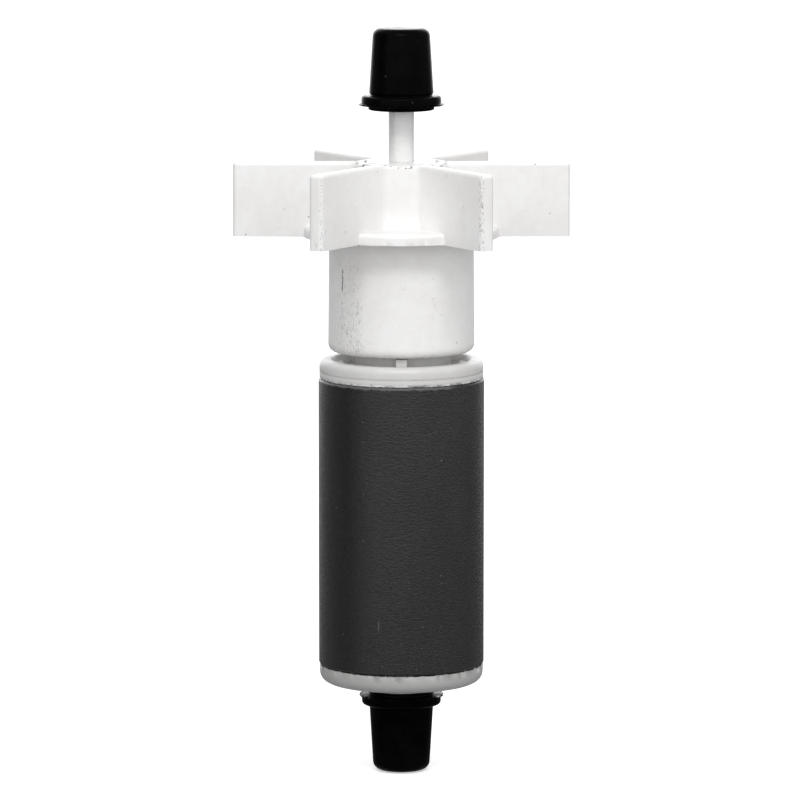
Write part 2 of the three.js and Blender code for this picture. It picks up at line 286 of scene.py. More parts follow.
lower_mount = spin_piece("rubber_end_lower", mount_section, closed=False)
upper_section = flipped(mount_section, heights("upper_rubber_mount")[1])
upper_mount = spin_piece("rubber_end_upper", upper_section, closed=False)
for seed, mount in enumerate((lower_mount, upper_mount)):
    roughen(mount, lambda radius, height: radius > FIN_RADIUS - 0.12, FIN_TEAR, seed)
take_place(lower_mount, "lower_rubber_mount")
take_place(upper_mount, "upper_rubber_mount")

# %% [markdown]
# ## Rotor
# The magnet is a plain ferrite sleeve whose sharp edges were broken with a small chamfer. It sits between
# a moulded lower flange and a welded end cap. The cap's rim is a soft bulge round a shallow dish, and its
# neck carries three ribs that show in the gap under the cup. Where plastic was pressed against the magnet
# it left a ragged edge, so the points on those edges are shaken too.

# %% Magnet and its top ring
MAGNET_BORE = 4.02
MAGNET_CHAMFER = 0.26
EDGE_BAND = 0.08
RING_FLASH = 0.08

foot, top = heights("magnet")
rim = radius_of("magnet")
face = rim - MAGNET_CHAMFER
magnet = spin_piece("magnet_sleeve", [
    (MAGNET_BORE, foot, 0.1), (face, foot, 0.05), (rim, foot + MAGNET_CHAMFER, 0.08),
    (rim, top - MAGNET_CHAMFER, 0.04), (face, top, 0.04), (MAGNET_BORE, top, 0.1),
], LARGE_ROUND)
take_place(magnet, "magnet")

foot, top = heights("magnet_top_ring")
rim = radius_of("magnet_top_ring")
top_ring = spin_piece("magnet_ring_smooth", [
    (MAGNET_BORE, foot, 0.05), (rim - 0.05, foot, 0.03), (rim, foot + 0.3, 0.15), (rim - 0.02, top, 0.01),
    (MAGNET_BORE, top, 0.05),
], LARGE_ROUND)


def on_ring_edge(radius, height):
    return radius > rim - 0.2 and height < foot + EDGE_BAND


roughen(top_ring, on_ring_edge, RING_FLASH, seed=2)
take_place(top_ring, "magnet_top_ring")

# %% Lower flange with the core tube
CORE_RADIUS = 4.0
BUSH_SEAT = 2.82
CORE_BORE = 2.2
BUSH_LENGTH = 7.0
LOWER_FLANGE = 2.25
FOOT_BOSS_RADIUS, FOOT_BOSS_HEIGHT = 4.6, 0.12
FLANGE_ROUND = 1.25
SEAM_FLASH = 0.06
foot, top = heights("rotor_carrier")
rim = radius_of("rotor_carrier")
seam, underside = foot + LOWER_FLANGE, foot + FOOT_BOSS_HEIGHT
lower_seat_end, upper_seat_end = foot + BUSH_LENGTH, top - BUSH_LENGTH
carrier = spin_piece("rotor_core", [
    (BUSH_SEAT, foot, 0.1), (FOOT_BOSS_RADIUS, foot, 0.05), (FOOT_BOSS_RADIUS + 0.3, underside, 0.05),
    (rim, underside, FLANGE_ROUND), (rim, seam, 0.06), (CORE_RADIUS, seam, 0.05), (CORE_RADIUS, top, 0.1),
    (BUSH_SEAT, top, 0.1), (BUSH_SEAT, upper_seat_end, 0), (CORE_BORE, upper_seat_end, 0),
    (CORE_BORE, lower_seat_end, 0), (BUSH_SEAT, lower_seat_end, 0),
], LARGE_ROUND)


def on_flange_edge(radius, height):
    return radius > rim - 0.2 and abs(height - seam) < EDGE_BAND


roughen(carrier, on_flange_edge, SEAM_FLASH, seed=3)
take_place(carrier, "rotor_carrier")

# %% [markdown]
# ## Joining and cutting
# Where a moulding has ribs, blades or sockets, the pieces that make it are joined with an exact boolean
# and the helper shape is thrown away. A union by hand would need every vertex placed where the surfaces
# cross.

# %% Boolean and block helpers
BLOCK_STEPS = 3
OVERSHOOT = 1.0


def combine(piece, other, operation):
    """Adds or cuts another piece, which is used up."""
    select_only(piece)
    step = piece.modifiers.new("combine", "BOOLEAN")
    step.operation = operation
    step.solver = "EXACT"
    step.object = other
    bpy.ops.object.modifier_apply(modifier=step.name)
    bpy.data.objects.remove(other)


def settle_shading(piece):
    """Smooth shading that leaves big flat faces flat."""
    select_only(piece)
    bpy.ops.object.shade_smooth_by_angle(angle=SMOOTH_ANGLE)
    step = piece.modifiers.new("flat faces lead", "WEIGHTED_NORMAL")
    step.keep_sharp = True
    bpy.ops.object.modifier_apply(modifier=step.name)


def block(name, low, high, ease=0.1, turn=0.0):
    """A box between two corners in millimetres, with eased edges, turned about the shaft's axis."""
    deselect_all()
    low, high = Vector(low) * MM, Vector(high) * MM
    bpy.ops.mesh.primitive_cube_add(size=1, location=(0, 0, 0))
    piece = bpy.context.object
    piece.name = piece.data.name = name
    bpy.ops.object.mode_set(mode="EDIT")
    bpy.ops.transform.resize(value=high - low, center_override=(0, 0, 0))
    bpy.ops.transform.translate(value=(low + high) / 2)
    if ease:
        bpy.ops.mesh.bevel(offset=ease * MM, offset_type="OFFSET", segments=BLOCK_STEPS, affect="EDGES")
    bpy.ops.object.mode_set(mode="OBJECT")
    piece.data.transform(Matrix.Rotation(turn, 4, "Z"))
    return piece


# %% End cap of the rotor
CAP_THICKNESS = 1.45
CAP_ROUND = 0.8
DISH_DEPTH = 0.7
DISH_RIM, DISH_FLOOR_RADIUS = 8.15, 7.75
CORE_SEAT_DEPTH = 0.9
NECK_RADIUS = 5.8
NECK_RIBS = 3
RIB_WIDTH = 1.3
RIB_REACH = 7.6
RIB_CLEARANCE = 0.15
SPIGOT_SIDE = 4.84
SPIGOT_SOCKET = 1.72
foot, top_of_neck = heights("rotor_cap")
rim = radius_of("rotor_cap")
crest = foot + CAP_THICKNESS
dish = crest - DISH_DEPTH
core_seat = foot + CORE_SEAT_DEPTH
cap = spin_piece("rotor_end_cap", [
    (MAGNET_BORE, foot, 0.05), (rim - 0.03, foot, 0.01), (rim, foot + 0.2, 0.15), (rim, crest, CAP_ROUND),
    (DISH_RIM, crest, 0.35), (DISH_FLOOR_RADIUS, dish, 0.25), (NECK_RADIUS, dish, 0.2),
    (NECK_RADIUS, top_of_neck, 0.3), (CORE_BORE, top_of_neck, 0.2), (CORE_BORE, core_seat, 0),
    (MAGNET_BORE, core_seat, 0),
], LARGE_ROUND)
rib_top = heights("cup_cover_ring")[0] - RIB_CLEARANCE
for index in range(NECK_RIBS):
    turn = -math.pi / 2 + index * math.tau / NECK_RIBS
    low = (NECK_RADIUS - 0.3, -RIB_WIDTH / 2, dish - 0.2)
    combine(cap, block("rib", low, (RIB_REACH, RIB_WIDTH / 2, rib_top), 0.12, turn), "UNION")
half = SPIGOT_SIDE / 2
low, high = (-half, -half, top_of_neck - SPIGOT_SOCKET), (half, half, top_of_neck + OVERSHOOT)
combine(cap, block("socket", low, high, 0), "DIFFERENCE")
settle_shading(cap)
take_place(cap, "rotor_cap")

# %% [markdown]
# ## Coupling inside the cup
# A single dog on the rotor's neck swings most of a turn before it meets a stop inside the cup. That lets
# the magnet start before it has to push the wheel. Rubber pads on the dog soften the knock.

# %% Dog and pads
DOG_HUB_RADIUS = 3.9
SHAFT_PASSAGE = 1.8
ARM_START, ARM_WIDTH, ARM_EASE = 3.0, 3.0, 0.2
SEAT_GAP = 0.02
SPIGOT_OVERLAP, SPIGOT_EASE = 0.5, 0.15
PASSAGE_LENGTH = 90
PAD_EASE = 0.25
foot, top = heights("drive_dog")
seat = heights("rotor_cap")[1] + SEAT_GAP
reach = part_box("drive_dog")[1].x / MM
dog = spin_piece("coupling_dog", [
    (SHAFT_PASSAGE, seat, 0), (DOG_HUB_RADIUS, seat, 0.15), (DOG_HUB_RADIUS, top, 0.15),
    (SHAFT_PASSAGE, top, 0.1),
], SMALL_ROUND)
side = ARM_WIDTH / 2
combine(dog, block("arm", (ARM_START, -side, seat), (reach, side, top), ARM_EASE), "UNION")
half = SPIGOT_SIDE / 2 - SEAT_GAP
spigot = block("spigot", (-half, -half, foot), (half, half, seat + SPIGOT_OVERLAP), SPIGOT_EASE)
bore = spin_piece("passage", [
    (0, 0, 0), (SHAFT_PASSAGE, 0, 0), (SHAFT_PASSAGE, PASSAGE_LENGTH, 0), (0, PASSAGE_LENGTH, 0),
], SMALL_ROUND, closed=False)
combine(spigot, bore, "DIFFERENCE")
combine(dog, spigot, "UNION")
settle_shading(dog)
take_place(dog, "drive_dog")

pads = []
for node in ("dog_pad_leading", "dog_pad_trailing"):
    low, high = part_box(node)
    pad = block(node + "_soft", low / MM, high / MM, PAD_EASE)
    settle_shading(pad)
    take_place(pad, node)
    pads.append(pad)

# %% [markdown]
# ## Impeller
# Blades, hub, disc and cup come out of one mould. The plan of hub and blades is drawn flat as a star, with
# fillets where the blades leave the hub and rounded tips, and then extruded upright. Drawing the fillets
# in the plan gives cleaner corners than a bevel of a finished union would. The last stretch is not
# extruded but inset in steps that follow a quarter circle, which rounds the whole top edge. The tips'
# rounding has to stay larger than that of the top, or the insets would cross.

# %% Plan of the wheel
BLADES = 6
HUB_RADIUS = 5.4
DISC_RADIUS = 11.4
DISC_THICKNESS = 1.3
BLADE_HEIGHT = 8.7
BLADE_THICKNESS = 1.8
ROOT_FILLET = 1.0
TIP_ROUND = 0.5
FILLET_STEPS = 5
VALLEY_STEPS = 14

tip_radius = radius_of("impeller")
blade_top = heights("impeller")[1]
blade_foot = blade_top - BLADE_HEIGHT


def arc(centre, radius, start, sweep, steps):
    """Points on a circle, from one angle through a sweep."""
    turns = [start + sweep * step / steps for step in range(steps + 1)]
    return [centre + Vector((radius * math.cos(turn), radius * math.sin(turn))) for turn in turns]


def valley(index):
    """Half a tip, a blade's face, the hub between two blades and the same again mirrored."""
    half = BLADE_THICKNESS / 2
    pitch = math.tau / BLADES
    tip = Vector((tip_radius - TIP_ROUND, half - TIP_ROUND))
    corner = arc(tip, TIP_ROUND, 0, math.pi / 2, FILLET_STEPS)
    # The fillet touches the blade's face and the hub, so its centre is a fillet away from both.
    centre_y = half + ROOT_FILLET
    centre = Vector((math.sqrt((HUB_RADIUS + ROOT_FILLET) ** 2 - centre_y ** 2), centre_y))
    root = math.atan2(centre.y, centre.x)
    fillet = arc(centre, ROOT_FILLET, -math.pi / 2, root - math.pi / 2, FILLET_STEPS)
    hub = arc(Vector((0, 0)), HUB_RADIUS, root, pitch - 2 * root, VALLEY_STEPS)[1:-1]
    first_half = corner + fillet
    mirror = Matrix.Rotation(pitch, 2)
    second_half = [mirror @ Vector((p.x, -p.y)) for p in reversed(first_half)]
    turn = Matrix.Rotation(index * pitch, 2)
    return [turn @ p for p in first_half + hub + second_half]


# %% Lift the wheel out of its plan
TOP_ROUND = 0.42
TOP_STEPS = 5

wheel = new_piece("impeller_wheel")
star = [Vector((p.x, p.y, blade_foot)) * MM for index in range(BLADES) for p in valley(index)]
draw_line(star + star[:1])
bpy.ops.mesh.select_all(action="SELECT")
bpy.ops.mesh.remove_doubles(threshold=2 * MERGE_DISTANCE)
bpy.ops.mesh.select_all(action="SELECT")
bpy.ops.mesh.edge_face_add()
bpy.ops.mesh.select_mode(type="FACE")
bpy.ops.mesh.select_all(action="SELECT")
lift = {"value": (0, 0, (BLADE_HEIGHT - TOP_ROUND) * MM)}
bpy.ops.mesh.extrude_region_move(TRANSFORM_OT_translate=lift)
for step in range(TOP_STEPS):
    before, after = (math.pi / 2 * turn / TOP_STEPS for turn in (step, step + 1))
    inward = TOP_ROUND * (math.cos(before) - math.cos(after))
    upward = TOP_ROUND * (math.sin(after) - math.sin(before))
    bpy.ops.mesh.inset(thickness=inward * MM, depth=0)
    bpy.ops.transform.translate(value=(0, 0, upward * MM))
bpy.ops.mesh.select_all(action="SELECT")
bpy.ops.mesh.normals_make_consistent(inside=False)
bpy.ops.object.mode_set(mode="OBJECT")
print("wheel plan has", len(star), "points")

# %% [markdown]
# ## Disc and cup under the blades
# Disc and cup are turned as one, with a soft upper rim and a small flare where the cup runs into the
# disc. A stop for the dog hangs inside, and the bore and the washer's recess are cut out last. The
# disc's lower edge is the parting line, so it gets a little flash.

# %% Cup, stop and bore
CUP_BORE = 7.15
CUP_TOP_RADIUS = 8.45
CUP_ROOF = 1.15
STOP_WIDTH, STOP_EASE, STOP_GAP = 3.0, 0.2, 0.3
STOP_BITE = 0.6
WASHER_RECESS, RECESS_CHAMFER = 4.12, 0.2
COVER_INSET = 1.1
DISC_SINK = 0.02
CUT_PAST = 5
DISC_FLASH = 0.06

cup_foot = heights("cup_cover_ring")[1] - COVER_INSET
cup_foot_radius = radius_of("cup_cover_ring")
roof = blade_foot - CUP_ROOF
slab_foot, slab_top = blade_foot - DISC_SINK, blade_foot + DISC_THICKNESS
cup = spin_piece("cup", [
    (0, roof, 0), (CUP_BORE, roof, 0.4), (CUP_BORE, cup_foot, 0.1), (cup_foot_radius, cup_foot, 0),
    (CUP_TOP_RADIUS, slab_foot, 0.35), (DISC_RADIUS, slab_foot, 0.06), (DISC_RADIUS, slab_top, 0.5),
    (0, slab_top, 0),
], LARGE_ROUND, closed=False)
combine(wheel, cup, "UNION")
low = (-CUP_BORE - STOP_BITE, -STOP_WIDTH / 2, heights("rotor_cap")[1] + STOP_GAP)
high = (-DOG_HUB_RADIUS - STOP_GAP, STOP_WIDTH / 2, blade_foot)
combine(wheel, block("stop", low, high, STOP_EASE), "UNION")
recess = heights("upper_thrust_washer")[0] - SEAT_GAP
below, above = roof - CUT_PAST, blade_top + CUT_PAST
mouth = WASHER_RECESS + RECESS_CHAMFER
cutter = spin_piece("bore_cutter", [
    (0, below, 0), (BUSH_SEAT, below, 0), (BUSH_SEAT, recess, 0), (WASHER_RECESS, recess, 0),
    (WASHER_RECESS, blade_top - 0.15, 0), (mouth, blade_top + 0.05, 0), (mouth, above, 0), (0, above, 0),
], MIDDLE_ROUND, closed=False)
combine(wheel, cutter, "DIFFERENCE")


def on_disc_edge(radius, height):
    return abs(radius - DISC_RADIUS + 0.1) < 0.15 and height < blade_foot + 0.06


roughen(wheel, on_disc_edge, DISC_FLASH, seed=5)
settle_shading(wheel)
take_place(wheel, "impeller")
print("wheel faces:", len(wheel.data.polygons))

# %% [markdown]
# ## Ring that closes the cup
# The ring is welded into the cup's foot. Its lower corner is a soft round, and a little flash is left on
# it, so up to a tenth of a millimetre of unevenness is put on its lower face, near that corner.

# %% Cover ring
COVER_THICKNESS = 1.1
COVER_ROUND = 0.9
NECK_HOLE = 6.1
SPIGOT_PLAY = 0.02
COVER_FLASH = 0.09
FLASH_BAND = (7.3, 8.2)
foot, top = heights("cup_cover_ring")
land = foot + COVER_THICKNESS
cover = spin_piece("cup_bottom_ring", [
    (NECK_HOLE, foot, 0.15), (cup_foot_radius, foot, COVER_ROUND), (cup_foot_radius, land, 0),
    (CUP_BORE - SPIGOT_PLAY, land, 0), (CUP_BORE - SPIGOT_PLAY, top, 0.1), (NECK_HOLE, top, 0.15),
], LARGE_ROUND)


def on_cover_edge(radius, height):
    return FLASH_BAND[0] < radius < FLASH_BAND[1] and height < foot + 0.2


roughen(cover, on_cover_edge, COVER_FLASH, seed=4)
take_place(cover, "cup_cover_ring")

# %% [markdown]
# ## Nodes in a few words
# Materials are built from many small nodes, so a handful of helpers keeps each recipe readable. A value
# given to a helper may be a number or the output of another node. A grey's second number warms it.

# %% Node helpers
def add_node(tree, kind, inputs=(), **settings):
    node = tree.nodes.new(kind if kind.startswith("Node") else "ShaderNode" + kind)
    for name, value in settings.items():
        setattr(node, name, value)
    for key, value in dict(inputs).items():
        socket = node.inputs[key]
        if isinstance(value, bpy.types.NodeSocket):
            tree.links.new(value, socket)
        else:
            socket.default_value = value
    return node


def math_node(tree, operation, *values, clamp=False):
    return add_node(tree, "Math", enumerate(values), operation=operation, use_clamp=clamp).outputs[0]


def ease(tree, value, low, high, to_low=0.0, to_high=1.0):
    """Smooth step of a value between two limits."""
    inputs = {"Value": value, "From Min": low, "From Max": high, "To Min": to_low, "To Max": to_high}
    return add_node(tree, "MapRange", inputs, interpolation_type="SMOOTHSTEP").outputs["Result"]


def within(tree, value, low, high, soft):
    """One between two limits, falling off softly outside them."""
    rise = ease(tree, value, low - soft, low + soft)
    fall = ease(tree, value, high - soft, high + soft, 1.0, 0.0)
    return math_node(tree, "MULTIPLY", rise, fall)


def noise(tree, vector, scale, detail=3.0, roughness=0.5):
    inputs = {"Vector": vector, "Scale": scale, "Detail": detail, "Roughness": roughness}
    return add_node(tree, "TexNoise", inputs).outputs[0]


def stretch(tree, vector, scale, turn=(0, 0, 0)):
    return add_node(tree, "Mapping", {"Vector": vector, "Scale": scale, "Rotation": turn}).outputs[0]


def blend(tree, factor, first, second):
    node = add_node(tree, "Mix", {0: factor, 6: first, 7: second}, data_type="RGBA")
    return node.outputs[2]


def grey(value, warm=0.0):
    return (value * (1 + warm), value, value * (1 - warm), 1)


# %% Node groups
def new_group(name, **numbers):
    """A group that takes a place and some numbers, given with their defaults, and gives out a mask."""
    tree = bpy.data.node_groups.new(name, "ShaderNodeTree")
    tree.interface.new_socket("Vector", in_out="INPUT", socket_type="NodeSocketVector")
    for label, default in numbers.items():
        socket = tree.interface.new_socket(label, in_out="INPUT", socket_type="NodeSocketFloat")
        socket.default_value = default
    tree.interface.new_socket("Mask", in_out="OUTPUT", socket_type="NodeSocketFloat")
    sockets = tree.nodes.new("NodeGroupInput").outputs
    end = tree.nodes.new("NodeGroupOutput").inputs[0]
    return tree, sockets, lambda value: tree.links.new(value, end)


def use_group(tree, group, **inputs):
    node = tree.nodes.new("ShaderNodeGroup")
    node.node_tree = group
    for key, value in inputs.items():
        socket = node.inputs[key]
        if isinstance(value, bpy.types.NodeSocket):
            tree.links.new(value, socket)
        else:
            socket.default_value = value
    return node.outputs[0]


# %% [markdown]
# ## Shared effects
# Five effects come back in several finishes, so each is a node group made once. Patches give slow changes
# of tone. Grime breaks up a mask so that dirt clings in flecks. Specks are rare small dots. Scratches are
# thin lines. Ground streaks run round a turned or ground surface. All work in millimetres.

# %% Patches and grime
FINE_PATCH_RATIO = 6.3
FINE_PATCH_SHARE = 0.4
PATCH_LIMITS = (0.36, 0.64)
FLECK_CONTRAST = 11.0


def make_patches():
    """Broad patches with finer ones in them."""
    tree, given, give = new_group("patches", Scale=1.0)
    broad = noise(tree, given["Vector"], given["Scale"], 2.0, 0.5)
    fine_scale = math_node(tree, "MULTIPLY", given["Scale"], FINE_PATCH_RATIO)
    fine = noise(tree, given["Vector"], fine_scale, 4.0, 0.6)
    broad = math_node(tree, "MULTIPLY", broad, 1 - FINE_PATCH_SHARE)
    mixed = math_node(tree, "MULTIPLY_ADD", fine, FINE_PATCH_SHARE, broad)
    give(ease(tree, mixed, *PATCH_LIMITS))
    return tree


def make_grime():
    """Noise that passes a limit only where the cover and the amount are high enough."""
    tree, given, give = new_group("grime", Cover=1.0, Amount=0.5, Grain=3.0)
    fleck = noise(tree, given["Vector"], given["Grain"], 6.0, 0.72)
    reach = math_node(tree, "MULTIPLY", given["Cover"], given["Amount"])
    over = math_node(tree, "SUBTRACT", math_node(tree, "ADD", fleck, reach), 1.0)
    give(math_node(tree, "MULTIPLY", over, FLECK_CONTRAST, clamp=True))
    return tree


# %% Specks, scratches and streaks
GAP_RATIO, GAP_LIMITS = 2.6, (0.52, 0.6)
STREAK_LIMITS = (0.3, 0.7)


def make_specks():
    """Dots at the centres of some random cells, each of its own size."""
    tree, given, give = new_group("specks", Density=1.0, Size=0.1, Share=0.3)
    cells = add_node(tree, "TexVoronoi", {"Vector": given["Vector"], "Scale": given["Density"]})
    chance = add_node(tree, "SeparateColor", {0: cells.outputs["Color"]}).outputs
    chosen = math_node(tree, "LESS_THAN", chance[0], given["Share"])
    size = math_node(tree, "MULTIPLY", given["Size"], chance[1])
    dot = math_node(tree, "LESS_THAN", cells.outputs["Distance"], size)
    give(math_node(tree, "MULTIPLY", dot, chosen))
    return tree


def make_scratches():
    """Contour lines of a slow noise, broken by gaps."""
    tree, given, give = new_group("scratches", Scale=0.5, Width=0.01)
    field = noise(tree, given["Vector"], given["Scale"], 1.0, 0.4)
    off = math_node(tree, "ABSOLUTE", math_node(tree, "SUBTRACT", field, 0.5))
    line = math_node(tree, "LESS_THAN", off, given["Width"])
    gap_scale = math_node(tree, "MULTIPLY", given["Scale"], GAP_RATIO)
    gaps = ease(tree, noise(tree, given["Vector"], gap_scale, 2.0), *GAP_LIMITS)
    give(math_node(tree, "MULTIPLY", line, gaps))
    return tree


def make_streaks():
    """Noise squeezed along the axis, so that it runs round the piece."""
    tree, given, give = new_group("ground_streaks", Round=0.5, Along=6.0)
    scale = {0: given["Round"], 1: given["Round"], 2: given["Along"]}
    scale = add_node(tree, "CombineXYZ", scale).outputs[0]
    drawn = add_node(tree, "VectorMath", {0: given["Vector"], 1: scale}, operation="MULTIPLY").outputs[0]
    give(ease(tree, noise(tree, drawn, 1.0, 5.0, 0.65), *STREAK_LIMITS))
    return tree


patches, grime, specks = make_patches(), make_grime(), make_specks()
scratches, streaks = make_scratches(), make_streaks()
print("node groups:", [group.name for group in bpy.data.node_groups])

# %% Start of a finish
def start_finish(name, **constants):
    """A material with its shader, its tree and its place on the piece in millimetres."""
    material = bpy.data.materials.new(name)
    material.use_nodes = True
    tree = material.node_tree
    shader = tree.nodes["Principled BSDF"]
    for key, value in constants.items():
        shader.inputs[key.replace("_", " ")].default_value = value
    object_place = add_node(tree, "TexCoord").outputs["Object"]
    place = add_node(tree, "VectorMath", {0: object_place, "Scale": 1 / MM}, operation="SCALE").outputs[0]
    return material, tree, shader, place


def connect(tree, shader, colour, roughness, height, depth):
    """Joins colour, roughness and a bump height, whose full depth is in millimetres, to the shader."""
    bump = add_node(tree, "Bump", {"Height": height, "Distance": depth * MM, "Strength": 1.0})
    tree.links.new(colour, shader.inputs["Base Color"])
    tree.links.new(roughness, shader.inputs["Roughness"])
    tree.links.new(bump.outputs[0], shader.inputs["Normal"])


def paint(material, *pieces):
    for piece in pieces:
        piece.data.materials.clear()
        piece.data.materials.append(material)
    print(material.name, "on", len(pieces), "pieces")


# %% [markdown]
# ## White moulded plastic
# The mouldings are a hard, slightly satin white plastic. Under a lamp it is not one white: the wall is
# cloudy where the melt flowed, and the gloss changes a little from place to place. Handling leaves small
# dark specks and a few hair scratches.

# %% Plain white plastic
# The cap, dog and top ring take darker whites than the wheel. The darkness is painted shade for the dimmer
# light below the wheel.
PLASTIC_WHITE, SHADED_WHITE, SHADED_RING_WHITE = 0.83, 0.64, 0.62
HAIRLINE = 0.0016
CLOUD_DIP = 0.94
MARK_STRENGTH, SCRATCH_SHARE = 0.6, 0.35
SATIN_ROUGHNESS = (0.3, 0.44)
PLASTIC_RELIEF = 0.02


def plastic_base(tree, place, white):
    """Colour, roughness and bump height of a clean moulding."""
    cloud = use_group(tree, patches, Vector=place, Scale=0.16)
    colour = blend(tree, cloud, grey(white, 0.004), grey(white * CLOUD_DIP, 0.012))
    dots = use_group(tree, specks, Vector=place, Density=1.1, Size=0.13, Share=0.12)
    slanted = stretch(tree, place, (1, 1, 0.35), (0.5, 0.3, 0.9))
    lines = use_group(tree, scratches, Vector=slanted, Scale=0.35, Width=HAIRLINE)
    marks = math_node(tree, "MAXIMUM", dots, math_node(tree, "MULTIPLY", lines, SCRATCH_SHARE))
    marks = math_node(tree, "MULTIPLY", marks, MARK_STRENGTH)
    colour = blend(tree, marks, colour, grey(0.1, 0.05))
    rough = ease(tree, use_group(tree, patches, Vector=place, Scale=0.5), 0, 1, *SATIN_ROUGHNESS)
    peel = noise(tree, place, 2.2, 4.0, 0.6)
    height = math_node(tree, "SUBTRACT", peel, math_node(tree, "MULTIPLY", lines, 0.5))
    return colour, rough, height


def white_plastic(name, white):
    material, tree, shader, place = start_finish(name, IOR=1.5)
    colour, rough, height = plastic_base(tree, place, white)
    connect(tree, shader, colour, rough, height, PLASTIC_RELIEF)
    return material


# Cap and dog share the darker white, painted shade; the top ring's white is darkened the same way.
paint(white_plastic("white_plastic_clean_shaded", SHADED_WHITE), cap, dog)
paint(white_plastic("carrier_plastic_ring", SHADED_RING_WHITE), top_ring)

# %% [markdown]
# ## Grime on the wheel
# The wheel has been handled and has run. Black dirt has settled in a few places that say how it is used:
# streaks down the left of the cup and smears up the inner edges of the two front blade tips. Broken dark
# rings also run round the washer and the hub's edge. Each place is a soft mask, and the grime group breaks
# it into flecks. One rub mark stands out from the rest. Lengths here are in millimetres, and limits come
# in pairs.

# %% Places where dirt gathers
def parts_of(tree, place):
    """Across, depth, height and radius of a point, in millimetres."""
    axes = add_node(tree, "SeparateXYZ", {0: place}).outputs
    flat = add_node(tree, "CombineXYZ", {0: axes[0], 1: axes[1]}).outputs[0]
    radius = add_node(tree, "VectorMath", {0: flat}, operation="LENGTH").outputs["Value"]
    return axes[0], axes[1], axes[2], radius


CUP_CEILING = 63.0
CUP_SKIN = (8.2, 8.35)
FRONT_DEPTH = (-1.5, -3.0)
DIRT_ACROSS, DIRT_SOFTNESS = (-8.6, -3.4), 1.6
DIRT_HEIGHTS, DIRT_COVER = (64.0, 50.5), (0.88, 1.0)
DUST_STRENGTH = 0.5
RUB_ACROSS, RUB_HEIGHTS = (-6.95, -6.7), (56.8, 60.4)
SMEAR_STRENGTH = 0.55


def cup_dirt(tree, place, across, depth, height, radius):
    """Streaks on the left of the cup, strongest low down."""
    below_disc = ease(tree, height, CUP_CEILING + 0.1, CUP_CEILING - 0.1)
    on_cup = math_node(tree, "MULTIPLY", below_disc, ease(tree, radius, *CUP_SKIN))
    front = ease(tree, depth, *FRONT_DEPTH)
    left = math_node(tree, "MULTIPLY", within(tree, across, *DIRT_ACROSS, DIRT_SOFTNESS), front)
    low_down = ease(tree, height, *DIRT_HEIGHTS, *DIRT_COVER)
    cover = math_node(tree, "MULTIPLY", math_node(tree, "MULTIPLY", left, low_down), on_cup)
    drawn = stretch(tree, place, (1.0, 1.0, 0.3))
    streak = use_group(tree, grime, Vector=drawn, Cover=cover, Amount=0.47, Grain=5.5)
    fleck = use_group(tree, grime, Vector=place, Cover=cover, Amount=0.43, Grain=6.5)
    dusty = math_node(tree, "MAXIMUM", streak, fleck)
    dusty = math_node(tree, "MULTIPLY", dusty, DUST_STRENGTH)
    # One strong rub mark, a hair-thin upright line high on the left.
    mark = math_node(tree, "MULTIPLY", within(tree, across, *RUB_ACROSS, 0.08), front)
    mark = math_node(tree, "MULTIPLY", mark, within(tree, height, *RUB_HEIGHTS, 0.9))
    line = use_group(tree, grime, Vector=drawn, Cover=mark, Amount=0.56, Grain=4.0)
    return math_node(tree, "MAXIMUM", dusty, line)


def upright_smear(tree, place, across, depth, at, width, reach):
    """Dirt up an upright edge that stands at a place (across, depth)."""
    flat = add_node(tree, "CombineXYZ", {0: across, 1: depth}).outputs[0]
    gap = add_node(tree, "VectorMath", {0: flat, 1: (*at, 0)}, operation="DISTANCE").outputs["Value"]
    near = ease(tree, gap, width, width * 0.25)
    drawn = stretch(tree, place, (1.0, 1.0, 0.45))
    smear = use_group(tree, grime, Vector=drawn, Cover=near, Amount=reach, Grain=7.5)
    return math_node(tree, "MULTIPLY", smear, SMEAR_STRENGTH)


def dark_ring(tree, place, height, radius, at, width, reach):
    """A broken dark ring round the axis, on the hub's top."""
    off = math_node(tree, "ABSOLUTE", math_node(tree, "SUBTRACT", radius, at))
    near = ease(tree, off, width, width * 0.3)
    top = ease(tree, height, blade_top - 0.7, blade_top - 0.3)
    cover = math_node(tree, "MULTIPLY", near, top)
    return use_group(tree, grime, Vector=place, Cover=cover, Amount=reach, Grain=1.1)


# %% Worn white plastic, with painted light
WASHER_RING, HUB_RING = 4.25, 5.3
# Extra white for the wheel and its cover ring: painted light, not a property of the plastic.
WHEEL_PAINTED_LIGHT = 0.06
BLACK_STRENGTH, DIRT_ROUGHNESS = 0.93, 0.3


def worn_lit_plastic():
    material, tree, shader, place = start_finish("white_plastic_worn_lit", IOR=1.5)
    # The wheel's white is raised over the plain plastic's, as painted light that makes its faces as bright
    # as lit ones.
    colour, rough, height = plastic_base(tree, place, PLASTIC_WHITE + WHEEL_PAINTED_LIGHT)
    across, depth, up, radius = parts_of(tree, place)
    # The inner edges of the two front tips, as places on the plan.
    tip = Vector((tip_radius, BLADE_THICKNESS / 2))
    right_edge = Matrix.Rotation(-math.tau / BLADES, 2) @ Vector((tip.x, -tip.y))
    left_edge = Vector((-right_edge.x, right_edge.y))
    dirt = [
        cup_dirt(tree, place, across, depth, up, radius),
        upright_smear(tree, place, across, depth, right_edge, 1.1, 0.5),
        upright_smear(tree, place, across, depth, left_edge, 0.8, 0.47),
        # Broken dark rings round the washer and the hub's edge.
        dark_ring(tree, place, up, radius, WASHER_RING, 0.3, 0.6),
        dark_ring(tree, place, up, radius, HUB_RING, 0.35, 0.5),
    ]
    black = dirt[0]
    for mask in dirt[1:]:
        black = math_node(tree, "MAXIMUM", black, mask)
    strength = math_node(tree, "MULTIPLY", black, BLACK_STRENGTH)
    colour = blend(tree, strength, colour, grey(0.015, 0.1))
    rough = math_node(tree, "MULTIPLY_ADD", black, DIRT_ROUGHNESS, rough)
    connect(tree, shader, colour, rough, height, PLASTIC_RELIEF)
    return material


paint(worn_lit_plastic(), wheel, cover)
